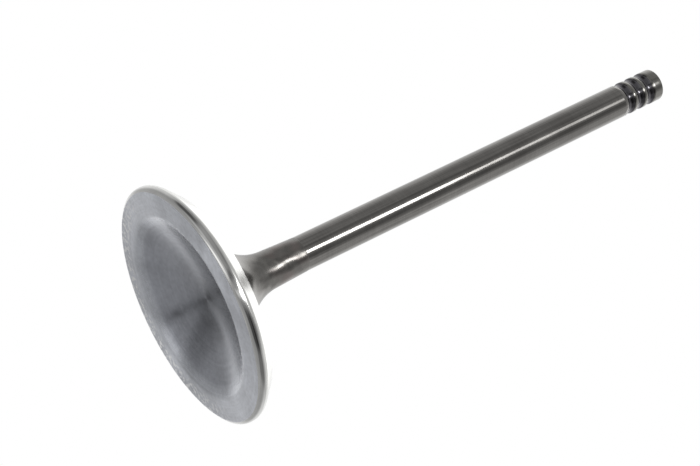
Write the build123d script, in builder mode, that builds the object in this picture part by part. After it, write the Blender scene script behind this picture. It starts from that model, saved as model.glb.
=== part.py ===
from build123d import *
import os
from math import radians, tan

# Poppet intake valve, forged, turned and ground in one piece.
# It stands on its head: the combustion face lies in z = 0 and the stem runs up +Z.
# Lengths are in millimetres and angles in degrees.

# Overall sizes
head_diameter = 41.0
stem_diameter = 5.98
overall_length = 102.0

# Combustion face: a shallow bowl, then a steeper turned lip, then a flat ring
dish_depth = 3.7
bowl_diameter = 28.8
dish_rim_diameter = 31.6
lip_angle = 25.0
lip_radius = 2.0
face_edge_radius = 0.9

# Margin and ground seat round the head, with a rounded edge between them
margin_height = 1.5
margin_radius = 1.0
seat_width = 2.15
seat_angle = 45.0

# Tulip: the back of the head, swept up into the neck
back_angle = 22.0
tulip_radius = 8.8
neck_diameter = 6.02
neck_taper = 2.5

# Ground stem: it starts at a small shoulder, where the forged neck ends
ground_start = 21.6
shoulder_height = 0.1
tip_chamfer = 0.3

# Round-bottomed keeper grooves, placed from the tip
groove_count = 3
groove_pitch = 2.4
groove_depth = 0.4
groove_radius = 1.0
tip_to_groove = 3.3

# Radii and heights that follow from the sizes above
head_radius = head_diameter / 2
stem_radius = stem_diameter / 2
neck_radius = neck_diameter / 2
seat_inner_radius = head_radius - seat_width
seat_top = margin_height + seat_width * tan(radians(seat_angle))

# The lip runs straight from the bowl's edge down to the ring, where it is rounded.
lip_corner = (dish_rim_diameter / 2, 0)
lip_width = (dish_rim_diameter - bowl_diameter) / 2
bowl_edge = (bowl_diameter / 2, lip_width * tan(radians(lip_angle)))

# The back of the head and the neck run straight to one corner, which the tulip rounds.
back_slope = tan(radians(back_angle))
neck_slope = tan(radians(neck_taper))
neck_foot_radius = neck_radius + neck_slope * ground_start
corner_height = (seat_top + back_slope * (seat_inner_radius - neck_foot_radius)) / (
    1 - back_slope * neck_slope
)
tulip_corner = (neck_foot_radius - neck_slope * corner_height, corner_height)

face_corner = (head_radius, 0)
margin_corner = (head_radius, margin_height)
tip_corner = (stem_radius, overall_length)
groove_centre_radius = stem_radius - groove_depth + groove_radius
groove_heights = [overall_length - tip_to_groove - n * groove_pitch for n in range(groove_count)]

with BuildPart() as valve:
    with BuildSketch(Plane.XZ) as half_section:
        with BuildLine():
            TangentArc((0, dish_depth), bowl_edge, tangent=(1, 0))
            Polyline(
                bowl_edge,
                lip_corner,
                face_corner,
                margin_corner,
                (seat_inner_radius, seat_top),
                tulip_corner,
                (neck_radius, ground_start),
                (stem_radius, ground_start + shoulder_height),
                tip_corner,
                (0, overall_length),
                (0, dish_depth),
            )
        make_face()
        fillet(half_section.vertices().sort_by_distance(lip_corner)[0], radius=lip_radius)
        fillet(half_section.vertices().sort_by_distance(face_corner)[0], radius=face_edge_radius)
        fillet(half_section.vertices().sort_by_distance(margin_corner)[0], radius=margin_radius)
        fillet(half_section.vertices().sort_by_distance(tulip_corner)[0], radius=tulip_radius)
        chamfer(half_section.vertices().sort_by_distance(tip_corner)[0], length=tip_chamfer)
        with Locations(*[(groove_centre_radius, height) for height in groove_heights]):
            Circle(groove_radius, mode=Mode.SUBTRACT)
    revolve(axis=Axis.Z)

valve.part.label = "valve"

os.makedirs("parts", exist_ok=True)
export_step(valve.part, "parts/valve.step")
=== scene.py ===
import bpy
from math import asin, cos, pi, radians, sin, tan
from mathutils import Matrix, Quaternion, Vector


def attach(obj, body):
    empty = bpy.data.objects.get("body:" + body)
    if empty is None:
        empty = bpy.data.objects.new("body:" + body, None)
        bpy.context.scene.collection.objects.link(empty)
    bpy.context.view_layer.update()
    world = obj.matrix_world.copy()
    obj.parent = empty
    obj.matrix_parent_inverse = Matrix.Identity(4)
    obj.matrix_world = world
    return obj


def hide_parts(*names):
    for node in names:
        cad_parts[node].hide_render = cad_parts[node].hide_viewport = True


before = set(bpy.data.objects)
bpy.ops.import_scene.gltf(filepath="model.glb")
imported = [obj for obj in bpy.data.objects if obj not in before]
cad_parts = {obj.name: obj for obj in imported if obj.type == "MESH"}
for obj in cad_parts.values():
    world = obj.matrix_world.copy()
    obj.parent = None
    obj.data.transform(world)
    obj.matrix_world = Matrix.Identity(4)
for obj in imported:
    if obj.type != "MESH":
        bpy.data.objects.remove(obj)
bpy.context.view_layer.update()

MM = 0.001

# The valve's section, in millimetres: r is out from the axis, and z is up along it from the
# combustion face. The sizes are those of part.py.
head_radius = 20.5
stem_radius = 2.99
overall_length = 102.0
dish_depth = 3.7
bowl_radius = 14.4
ring_inner_radius = 15.8
lip_slope = radians(25.0)
lip_radius = 2.0
face_edge_radius = 0.9
margin_height = 1.5
margin_radius = 1.0
seat_width = 2.15
back_slope = radians(22.0)
tulip_radius = 8.8
neck_radius = 3.01
neck_slope = radians(2.5)
ground_start = 21.6
shoulder_height = 0.1
tip_chamfer = 0.3
tip_to_groove = 3.3
groove_pitch = 2.4
groove_count = 3
groove_radius = 1.0
groove_depth = 0.4

# The seat lies at 45 degrees, so it rises by its width.
seat_top = margin_height + seat_width

# Sharp corners are broken by this much, as a wheel leaves them.
broken_edge = 0.1
fine_edge = 0.05

# How finely the section is turned: steps round the axis, steps per millimetre along its straight
# lines, and steps in each kind of curve.
turn_steps = 256
line_density = 1.5
land_density = 3.0
bowl_steps = 64
fillet_steps = 12
broken_steps = 4
fine_steps = 2
tulip_steps = 40
groove_steps = 14

# A point nearer the axis than this is on it, and is one vertex.
on_axis = 1e-6

# The camera looks up at the combustion face, and is rolled so that the stem lies across the
# picture. Its place and aim are in metres.
camera_place = Vector((0.0, -0.24837, -0.09493))
camera_aim = Vector((0.00043, 0.0, 0.03182))
camera_roll = radians(64.24)
camera_lens = 86.16
camera_sensor = 36.0


# ---- The section ----


def along(start, end, density=line_density):
    """Points on a straight line, without its start."""
    steps = max(1, round((end - start).length * density))
    return [start.lerp(end, i / steps) for i in range(1, steps + 1)]


def arc(centre, radius, first, last, steps):
    """Points on an arc, without its start. Angles are counterclockwise from +r."""
    angles = [first + (last - first) * i / steps for i in range(1, steps + 1)]
    return [centre + radius * Vector((cos(a), sin(a))) for a in angles]


def rounding(before, corner, after, radius, steps):
    """The tangent arc that rounds a corner, with both its ends."""
    back = (before - corner).normalized()
    ahead = (after - corner).normalized()
    half = back.angle(ahead) / 2
    centre = corner + (back + ahead).normalized() * radius / sin(half)
    start = corner + back * radius / tan(half)
    end = corner + ahead * radius / tan(half)
    spoke = start - centre
    sweep = -spoke.angle_signed(end - centre)
    points = []
    for i in range(steps + 1):
        c = cos(sweep * i / steps)
        s = sin(sweep * i / steps)
        points.append(centre + Vector((spoke.x * c - spoke.y * s, spoke.x * s + spoke.y * c)))
    return points


def trace(start, corners, end):
    """A line from start through rounded corners to end, as (finish, points).

    Each corner is (point, radius, steps, finish of the line before it, how many steps of the
    rounding still have that finish), and end is (point, finish).
    """
    stops = [start] + [corner[0] for corner in corners] + [end[0]]
    found = []
    last = start
    left_over = []
    for i, (corner, radius, steps, finish, kept) in enumerate(corners):
        bend = rounding(stops[i], corner, stops[i + 2], radius, steps)
        found.append((finish, left_over + along(last, bend[0]) + bend[1 : kept + 1]))
        left_over = bend[kept + 1 :]
        last = bend[-1]
    found.append((end[1], left_over + along(last, end[0])))
    return found


def bowl():
    """The dish's bowl, a part of a sphere, from its middle to the foot of the lip."""
    edge = Vector((bowl_radius, (ring_inner_radius - bowl_radius) * tan(lip_slope)))
    rise = dish_depth - edge.y
    sphere = (edge.x**2 + rise**2) / (2 * rise)
    centre = Vector((0, dish_depth - sphere))
    top = pi / 2
    curve = arc(centre, sphere, top, top - asin(edge.x / sphere), bowl_steps)
    return [Vector((0, dish_depth))] + curve


def tulip_corner():
    """Where the cone of the head's back would meet the neck's."""
    neck_foot = neck_radius + ground_start * tan(neck_slope)
    rise = seat_top + (head_radius - seat_width - neck_foot) * tan(back_slope)
    z = rise / (1 - tan(neck_slope) * tan(back_slope))
    return Vector((neck_foot - z * tan(neck_slope), z))


def groove_arcs():
    """The keeper grooves from the lowest up, each with its foot on the stem."""
    reach = pi / 2 - asin((groove_radius - groove_depth) / groove_radius)
    found = []
    for i in reversed(range(groove_count)):
        z = overall_length - tip_to_groove - groove_pitch * i
        centre = Vector((stem_radius - groove_depth + groove_radius, z))
        foot = centre + groove_radius * Vector((cos(pi + reach), sin(pi + reach)))
        found.append((foot, arc(centre, groove_radius, pi + reach, pi - reach, groove_steps)))
    return found


def section():
    """The section as (finish, points), from the middle of the dish to the middle of the tip."""
    inner = bowl()
    grooves = groove_arcs()
    broken = (broken_edge, broken_steps)
    fine = (fine_edge, fine_steps)
    head = [
        (Vector((ring_inner_radius, 0)), lip_radius, fillet_steps, "face", fillet_steps // 2),
        (Vector((head_radius, 0)), face_edge_radius, fillet_steps, "face", fillet_steps // 6),
        (Vector((head_radius, margin_height)), margin_radius, fillet_steps, "rim", 0),
        (Vector((head_radius - seat_width, seat_top)), *broken, "seat", broken_steps // 2),
        (tulip_corner(), tulip_radius, tulip_steps, "neck", tulip_steps // 2),
        (Vector((neck_radius, ground_start)), *fine, "neck", fine_steps // 2),
        (Vector((stem_radius, ground_start + shoulder_height)), *fine, "neck", fine_steps // 2),
    ]
    last = grooves[0][0]
    found = [("face", inner)] + trace(inner[-1], head, (last, "stem"))
    for i, (foot, curve) in enumerate(grooves):
        if i:
            found.append(("land", along(last, foot, land_density)))
        found.append(("groove", curve))
        last = curve[-1]
    tip = [
        (Vector((stem_radius, overall_length - tip_chamfer)), *broken, "land", broken_steps // 2),
        (Vector((stem_radius - tip_chamfer, overall_length)), *broken, "land", broken_steps // 2),
    ]
    return found + trace(last, tip, (Vector((0, overall_length)), "tip"))


def turned(name, stretches, finishes):
    """A mesh turned from the section round +Z, with each face in its stretch's finish."""
    points = []
    marks = []
    for finish, line in stretches:
        points += line
        marks += [list(finishes).index(finish)] * len(line)
    vertices = []
    rings = []
    for r, z in points:
        steps = turn_steps if r > on_axis else 1
        rings.append([len(vertices) + k for k in range(steps)])
        angles = [2 * pi * k / steps for k in range(steps)]
        vertices += [(r * cos(a) * MM, r * sin(a) * MM, z * MM) for a in angles]
    faces = []
    numbers = []
    for low, high, mark in zip(rings, rings[1:], marks[1:]):
        for k in range(turn_steps):
            n = (k + 1) % turn_steps
            if len(low) == 1:
                faces.append((low[0], high[k], high[n]))
            elif len(high) == 1:
                faces.append((low[k], high[0], low[n]))
            else:
                faces.append((low[k], high[k], high[n], low[n]))
            numbers.append(mark)
    mesh = bpy.data.meshes.new(name)
    mesh.from_pydata(vertices, [], faces)
    mesh.polygons.foreach_set("material_index", numbers)
    mesh.polygons.foreach_set("use_smooth", [True] * len(faces))
    for finish in finishes.values():
        mesh.materials.append(finish)
    mesh.update()
    return mesh


# ---- Finishes ----


class Nodes:
    """Adds nodes to one tree. An input is a plain value or another node's output."""

    def __init__(self, owner):
        owner.use_nodes = True
        self.tree = owner.node_tree
        self.tree.nodes.clear()

    def add(self, kind, inputs=None, **settings):
        """A new node, with its inputs by name or number."""
        node = self.tree.nodes.new("ShaderNode" + kind)
        for name, value in settings.items():
            setattr(node, name, value)
        for name, value in (inputs or {}).items():
            if isinstance(value, bpy.types.NodeSocket):
                self.tree.links.new(value, node.inputs[name])
            else:
                node.inputs[name].default_value = value
        return node

    def math(self, operation, *values):
        return self.add("Math", dict(enumerate(values)), operation=operation).outputs[0]

    def vector(self, operation, a, b=None, **inputs):
        pair = {0: a} if b is None else {0: a, 1: b}
        outputs = self.add("VectorMath", {**pair, **inputs}, operation=operation).outputs
        return outputs["Value" if operation == "LENGTH" else "Vector"]

    def map(self, value, low, high, to_low=0.0, to_high=1.0):
        """A smooth step from to_low to to_high, as the value goes from low to high."""
        ends = {"From Min": low, "From Max": high, "To Min": to_low, "To Max": to_high}
        node = self.add("MapRange", {"Value": value, **ends}, interpolation_type="SMOOTHSTEP")
        return node.outputs["Result"]

    def blend(self, factor, a, b):
        """Between two values, which are a Mix node's inputs 2 and 3."""
        return self.add("Mix", {0: factor, 2: a, 3: b}).outputs[0]

    def mix(self, factor, a, b, blend="MIX"):
        """Between two colours, which are a Mix node's inputs 6 and 7."""
        inputs = {0: factor, 6: a, 7: b}
        return self.add("Mix", inputs, data_type="RGBA", blend_type=blend).outputs[2]


# The range that holds most of a noise texture's values.
noise_low = 0.3
noise_high = 0.7

# Reflections stretch along the tangent, which runs round the axis, unless it is turned.
quarter_turn = 0.25


class Steel(Nodes):
    """A steel finish. Its marks follow the valve, in millimetres: out from the axis and up it."""

    def __init__(self, name):
        self.material = bpy.data.materials.new(name)
        super().__init__(self.material)
        place = self.add("TexCoord").outputs["Object"]
        self.place = self.vector("SCALE", place, Scale=1 / MM)
        x, y, self.up = self.add("SeparateXYZ", {0: self.place}).outputs
        self.out = self.vector("LENGTH", self.add("CombineXYZ", {0: x, 1: y}).outputs[0])
        self.angle = self.math("DEGREES", self.math("ARCTAN2", y, x))

    def noise(self, where, scale, detail):
        inputs = {"Vector": where, "Scale": scale, "Detail": detail}
        return self.add("TexNoise", inputs).outputs[0]

    def blotches(self, size, detail=2.0):
        """Uneven patches, about size across."""
        return self.noise(self.place, 1 / size, detail)

    def tool_lines(self, pitch, length):
        """Lines round the axis, about pitch apart, that come and go within about length."""
        across = self.add("CombineXYZ", {0: self.out, 1: self.up}).outputs[0]
        lines = self.vector("SCALE", across, Scale=1 / pitch)
        drift = self.vector("SCALE", self.place, Scale=1 / length)
        return self.noise(self.vector("ADD", lines, drift), 1.0, 2.0)

    def scratches(self, width, length):
        """Lines along the axis."""
        stretch = (1 / width, 1 / width, 1 / length)
        return self.noise(self.vector("MULTIPLY", self.place, stretch), 1.0, 1.0)

    def spread(self, pattern, low, high):
        """The pattern as values from low to high."""
        return self.map(pattern, noise_low, noise_high, low, high)

    def shade(self, colour, *layers):
        """The colour, darker and lighter by each (pattern, amount)."""
        for pattern, amount in layers:
            level = self.spread(pattern, 1 - amount, 1 + amount)
            colour = self.mix(1.0, colour, level, "MULTIPLY")
        return colour

    def dent(self, *layers):
        """A bump of each (pattern, depth in millimetres)."""
        normal = None
        for pattern, depth in layers:
            inputs = {"Height": pattern, "Distance": depth * MM}
            if normal:
                inputs["Normal"] = normal
            normal = self.add("Bump", inputs).outputs[0]
        return normal

    def done(self, colour, roughness, normal, anisotropy=0.0):
        """The finished material. Anisotropy stretches reflections out from the axis."""
        inputs = {"Metallic": 1.0, "Base Color": colour, "Roughness": roughness, "Normal": normal}
        if anisotropy:
            inputs["Anisotropic"] = anisotropy
            inputs["Anisotropic Rotation"] = quarter_turn
            inputs["Tangent"] = self.add("Tangent", direction_type="RADIAL", axis="Z").outputs[0]
        shader = self.add("BsdfPrincipled", inputs)
        self.add("OutputMaterial", {"Surface": shader.outputs[0]})
        return self.material


def opaque(red, green, blue):
    return (red, green, blue, 1.0)


def face_finish():
    """The combustion face: a dark bowl, a lighter lip and a matt ring with one rough side."""
    bowl_colour = opaque(0.3, 0.31, 0.34)
    lip_colour = opaque(0.45, 0.465, 0.5)
    ring_colour = opaque(0.71, 0.728, 0.773)
    crust_colour = opaque(1.0, 1.0, 1.0)
    bowl_rough, lip_rough, ring_rough = 0.2, 0.26, 0.45

    # Where the lip, the ring and the crust on it come in, out from the axis.
    lip_start = (13.3, 15.1)
    ring_start = (15.0, 16.3)
    crust_start = (16.2, 18.2)

    # The crust lies away from the camera. It goes out this far from its middle, in degrees.
    crust_middle = 95
    crust_sides = (95, 55)

    steel = Steel("face_turned")
    to_lip = steel.map(steel.out, *lip_start)
    to_ring = steel.map(steel.out, *ring_start)
    patches = steel.blotches(size=5.0, detail=3.0)
    grain = steel.blotches(size=0.7, detail=3.0)
    lines = steel.tool_lines(pitch=0.45, length=9.0)
    aside = steel.math("ABSOLUTE", steel.math("SUBTRACT", steel.angle, crust_middle))
    on_side = steel.map(aside, *crust_sides)
    on_ring = steel.map(steel.out, *crust_start)
    specks = steel.map(steel.blotches(size=0.8, detail=5.0), 0.5, 0.6)
    crust = steel.math("MULTIPLY", specks, steel.math("MULTIPLY", on_ring, on_side))

    colour = steel.mix(to_ring, steel.mix(to_lip, bowl_colour, lip_colour), ring_colour)
    colour = steel.shade(colour, (patches, 0.1), (lines, 0.05), (grain, 0.05))
    colour = steel.mix(steel.math("MULTIPLY", crust, 0.9), colour, crust_colour)
    rough = steel.blend(to_ring, steel.blend(to_lip, bowl_rough, lip_rough), ring_rough)
    rough = steel.math("ADD", rough, steel.spread(patches, -0.03, 0.03))
    rough = steel.math("ADD", rough, steel.math("MULTIPLY", crust, 0.1))
    normal = steel.dent((lines, 0.004), (grain, 0.002), (crust, 0.02))
    return steel.done(colour, rough, normal, anisotropy=0.8)


def ground_finish(name, colour, roughness, pitch, depth, unevenness=0.06):
    """Ground steel, with lines round the axis, pitch apart and depth deep, in millimetres."""
    steel = Steel(name)
    lines = steel.tool_lines(pitch, length=6.0)
    patches = steel.blotches(size=4.0)
    colour = steel.shade(opaque(*colour), (patches, unevenness), (lines, unevenness))
    rough = steel.spread(patches, roughness * 0.85, roughness * 1.15)
    return steel.done(colour, rough, steel.dent((lines, depth)))


def stem_finish():
    """The polished stem, with fine scratches along it."""
    steel = Steel("stem_ground")
    lines = steel.tool_lines(pitch=0.3, length=3.0)
    marks = steel.scratches(width=0.25, length=14.0)
    patches = steel.blotches(size=6.0, detail=3.0)
    colour = opaque(0.225, 0.218, 0.208)
    colour = steel.shade(colour, (patches, 0.08), (marks, 0.12), (lines, 0.05))
    rough = steel.spread(patches, 0.1, 0.145)
    return steel.done(colour, rough, steel.dent((lines, 0.0008), (marks, 0.0004)))


def neck_finish():
    """The forged neck: satin, slightly uneven, with a warm tint where it stands proud."""
    plain = opaque(0.2, 0.194, 0.184)
    warm = opaque(0.225, 0.197, 0.188)
    steel = Steel("neck_forged")
    above_head = steel.map(steel.up, 8.0, 15.0)
    hammered = steel.math("MULTIPLY", steel.blotches(size=3.0, detail=1.0), above_head)
    warmth = steel.map(hammered, 0.45, 0.7, to_low=0.0, to_high=0.7)
    scale = steel.blotches(size=1.3, detail=4.0)
    colour = steel.mix(warmth, steel.shade(plain, (scale, 0.12)), warm)
    rough = steel.spread(scale, 0.2, 0.28)
    return steel.done(colour, rough, steel.dent((hammered, 0.22), (scale, 0.005)))


def make_finishes():
    """Each stretch's finish. The ground ones give colour, roughness, pitch and depth of lines."""
    pale = (0.55, 0.55, 0.54)
    bright = (0.8, 0.8, 0.78)
    dark = (0.12, 0.117, 0.126)
    worn = (0.24, 0.235, 0.22)
    return {
        "face": face_finish(),
        "rim": ground_finish("rim_ground", pale, 0.14, 0.3, 0.002),
        "seat": ground_finish("seat_ground", bright, 0.25, 0.25, 0.003),
        "neck": neck_finish(),
        "stem": stem_finish(),
        "groove": ground_finish("groove_ground", dark, 0.1, 0.2, 0.001, unevenness=0.15),
        "land": ground_finish("land_ground", worn, 0.16, 0.2, 0.001),
        "tip": ground_finish("tip_ground", worn, 0.2, 0.3, 0.002, unevenness=0.1),
    }


def make_valve():
    """The one piece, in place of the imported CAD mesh, whose facets show on polished steel."""
    mesh = turned("valve_form", section(), make_finishes())
    valve = bpy.data.objects.new("valve_form", mesh)
    bpy.context.scene.collection.objects.link(valve)
    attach(valve, "root")
    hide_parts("valve")


# ---- Camera, light and floor ----


def make_camera():
    """The photograph's camera."""
    data = bpy.data.cameras.new("camera")
    data.sensor_fit = "HORIZONTAL"
    data.sensor_width = camera_sensor
    data.lens = camera_lens
    data.clip_start = 0.01
    data.clip_end = 50.0
    camera = bpy.data.objects.new("camera", data)
    bpy.context.scene.collection.objects.link(camera)
    camera.location = camera_place
    level = (camera_aim - camera_place).to_track_quat("-Z", "Y")
    camera.rotation_mode = "QUATERNION"
    camera.rotation_quaternion = level @ Quaternion((0, 0, 1), camera_roll)
    bpy.context.scene.camera = camera


# What the steel mirrors, painted over one another: (azimuth, elevation) of the middle, half the
# width and height, and how softly each ends, all in degrees, then the level. Azimuth is from the
# camera's side towards +X.
panels = [
    ((0, -45), (92, 22), (14, 16), 0.42),
    ((180, -6), (22, 9), (9, 9), 0.95),
    ((88, 40), (24, 20), (6, 5), 0.74),
    ((-27, 28), (8, 17), (5, 5), 0.3),
    ((38, 28), (12, 17), (6, 5), 0.24),
    ((78, -12), (20, 26), (8, 6), 0.24),
    ((42, -30), (21, 16), (8, 8), 0.085),
    ((42, 0), (20, 16), (8, 8), 0.04),
    ((-80, -6), (16, 20), (6, 8), 0.13),
    ((-50, -50), (42, 14), (10, 12), 0.72),
    ((-10, -22), (4, 36), (3, 8), 0.15),
    ((8.5, -27), (3.6, 34), (2, 6), 1.0),
    ((-95, -74), (72, 8), (20, 6), 1.6),
    ((180, 2), (8, 7), (4, 5), 2.0),
    ((167, -5), (5, 8), (4, 6), 1.05),
    ((193, -5), (5, 8), (4, 6), 1.1),
    ((171, 1), (3, 4), (3, 4), 1.8),
    ((189, 1), (3, 4), (3, 4), 1.8),
    ((165, -66), (14, 10), (6, 6), 0.63),
    ((186, -66), (10, 10), (6, 6), 0.54),
    ((180, -40), (1.4, 28), (1.4, 5), 0.08),
    ((184.5, -28), (2.6, 10), (1.5, 6), 0.15),
    ((188, -38), (4, 7), (2, 5), 0.19),
    ((195, -49), (6, 7), (3, 5), 0.25),
]


def make_world():
    """A pale room, darker where the camera stands. The camera itself sees plain white."""
    world = bpy.data.worlds.new("studio")
    bpy.context.scene.world = world
    nodes = Nodes(world)
    direction = nodes.add("TexCoord").outputs["Generated"]
    x, y, z = nodes.add("SeparateXYZ", {0: direction}).outputs
    toward = nodes.math("MULTIPLY", y, -1.0)
    azimuth = nodes.math("DEGREES", nodes.math("ARCTAN2", x, toward))
    elevation = nodes.math("DEGREES", nodes.math("ARCSINE", z))
    aside = nodes.math("ABSOLUTE", azimuth)
    walls = nodes.map(aside, 72, 134, to_low=0.42, to_high=1.0)
    ground = nodes.map(aside, 105, 155, to_low=0.46, to_high=0.55)
    ceiling = nodes.map(y, -0.2, 0.4, to_low=0.5, to_high=1.5)
    to_ceiling = nodes.map(elevation, 34, 50)
    to_ground = nodes.map(elevation, 12, -14)
    room = nodes.blend(to_ceiling, walls, ceiling)
    room = nodes.blend(to_ground, room, ground)
    for (across, up), (half_width, half_height), (soft_width, soft_height), level in panels:
        turn = nodes.math("WRAP", nodes.math("SUBTRACT", azimuth, across), 180, -180)
        off_across = nodes.math("ABSOLUTE", turn)
        off_up = nodes.math("ABSOLUTE", nodes.math("SUBTRACT", elevation, up))
        in_width = nodes.map(off_across, half_width + soft_width, half_width - soft_width)
        in_height = nodes.map(off_up, half_height + soft_height, half_height - soft_height)
        room = nodes.blend(nodes.math("MULTIPLY", in_width, in_height), room, level)
    lit = nodes.add("Background", {"Color": room})
    seen = nodes.add("Background", {"Color": opaque(1, 1, 1)})
    camera_ray = nodes.add("LightPath").outputs["Is Camera Ray"]
    both = nodes.add("MixShader", {0: camera_ray, 1: lit.outputs[0], 2: seen.outputs[0]})
    nodes.add("OutputWorld", {"Surface": both.outputs[0]})


# The window's panes: name, then azimuth, elevation, width and height in degrees, and radiance.
# They stand lamp_distance away, in metres.
lamp_distance = 2.0
lamps = [
    ("window", 7.0, 23.8, 14.0, 14.6, 9.0),
    ("window_top", 6.0, 36.0, 12.0, 9.0, 1.8),
    ("window_low", 9.0, 6.0, 8.0, 21.0, 2.4),
]


def make_lamps():
    """The lamps, aimed at the valve's middle. The camera doesn't see them."""
    aim = Vector((0, 0, overall_length * MM / 2))
    for name, azimuth, elevation, width, height, radiance in lamps:
        a = radians(azimuth)
        e = radians(elevation)
        place = aim + lamp_distance * Vector((sin(a) * cos(e), -cos(a) * cos(e), sin(e)))
        data = bpy.data.lights.new(name, "AREA")
        data.shape = "RECTANGLE"
        data.size = 2 * lamp_distance * tan(radians(width / 2))
        data.size_y = 2 * lamp_distance * tan(radians(height / 2))
        area = data.size * data.size_y
        data.energy = radiance * pi * area
        lamp = bpy.data.objects.new(name, data)
        bpy.context.scene.collection.objects.link(lamp)
        lamp.location = place
        lamp.rotation_mode = "QUATERNION"
        lamp.rotation_quaternion = (aim - place).to_track_quat("-Z", "Y")
        lamp.visible_camera = False


def make_floor():
    """A pale floor that shows from above only, because the camera looks up through it.

    It stays out of the steel's reflections, where the room's painted ground stands for it.
    """
    below_valve = -0.05 * MM
    reach = 3.0
    sides = 96
    turns = [2 * pi * k / sides for k in range(sides)]
    edge = [(reach * cos(a), reach * sin(a), below_valve) for a in turns]
    mesh = bpy.data.meshes.new("floor")
    mesh.from_pydata(edge, [], [tuple(range(sides))])
    mesh.update()
    floor = bpy.data.objects.new("floor", mesh)
    bpy.context.scene.collection.objects.link(floor)
    material = bpy.data.materials.new("floor")
    nodes = Nodes(material)
    pale = nodes.add("BsdfDiffuse", {"Color": opaque(0.8, 0.8, 0.8)})
    clear = nodes.add("BsdfTransparent")
    behind = nodes.add("NewGeometry").outputs["Backfacing"]
    mirrored = nodes.add("LightPath").outputs["Is Glossy Ray"]
    hidden = nodes.math("MAXIMUM", behind, mirrored)
    both = nodes.add("MixShader", {0: hidden, 1: pale.outputs[0], 2: clear.outputs[0]})
    nodes.add("OutputMaterial", {"Surface": both.outputs[0]})
    mesh.materials.append(material)


make_camera()
make_valve()
make_floor()
make_world()
make_lamps()
bpy.context.scene.view_settings.view_transform = "Standard"
